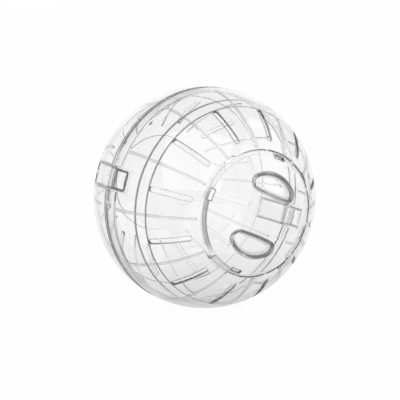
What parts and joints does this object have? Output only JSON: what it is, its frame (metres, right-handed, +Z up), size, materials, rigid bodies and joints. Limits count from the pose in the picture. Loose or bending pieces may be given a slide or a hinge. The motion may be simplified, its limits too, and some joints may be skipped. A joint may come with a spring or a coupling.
{
  "type": "hamster ball",
  "caption": "Clear plastic exercise ball for a small pet: two slotted half shells held by swing clips, with a domed twist-lock door and finger pockets.",
  "frame": {"origin": "centre of the ball, on the plane of the seam between the two half shells", "axes": "+Z up, -Y out through the middle of the door, +X to the right seen from the door"},
  "size_m": [0.14, 0.14, 0.14],
  "materials": {
    "shell_plastic": "polished clear moulding",
    "door_plastic": "polished clear moulding",
    "clip_plastic": "polished clear moulding"
  },
  "bodies": {
    "rear_half": {"rear_shell": "shell_plastic"},
    "front_half": {"front_shell": "shell_plastic"},
    "door": {"door": "door_plastic"},
    "right_clip": {"right_clip": "clip_plastic"},
    "left_clip": {"left_clip": "clip_plastic"}
  },
  "joints": [
    {"name": "front_half_pull", "type": "slide", "parent": "rear_half", "child": "front_half", "axis": [0, -1, 0], "range_m": [0, 0.15]},
    {"name": "door_twist", "type": "hinge", "parent": "front_half", "child": "door", "pos_m": [0, -0.065, 0], "axis": [0, -1, 0], "range_deg": [0, 54]},
    {"name": "right_clip_swing", "type": "hinge", "parent": "rear_half", "child": "right_clip", "pos_m": [0.06168, 0.02259, -0.01798], "axis": [0.2798, 0, 0.96], "range_deg": [0, 80]},
    {"name": "left_clip_swing", "type": "hinge", "parent": "rear_half", "child": "left_clip", "pos_m": [-0.06168, 0.02259, 0.01798], "axis": [-0.2798, 0, -0.96], "range_deg": [0, 80]}
  ]
}
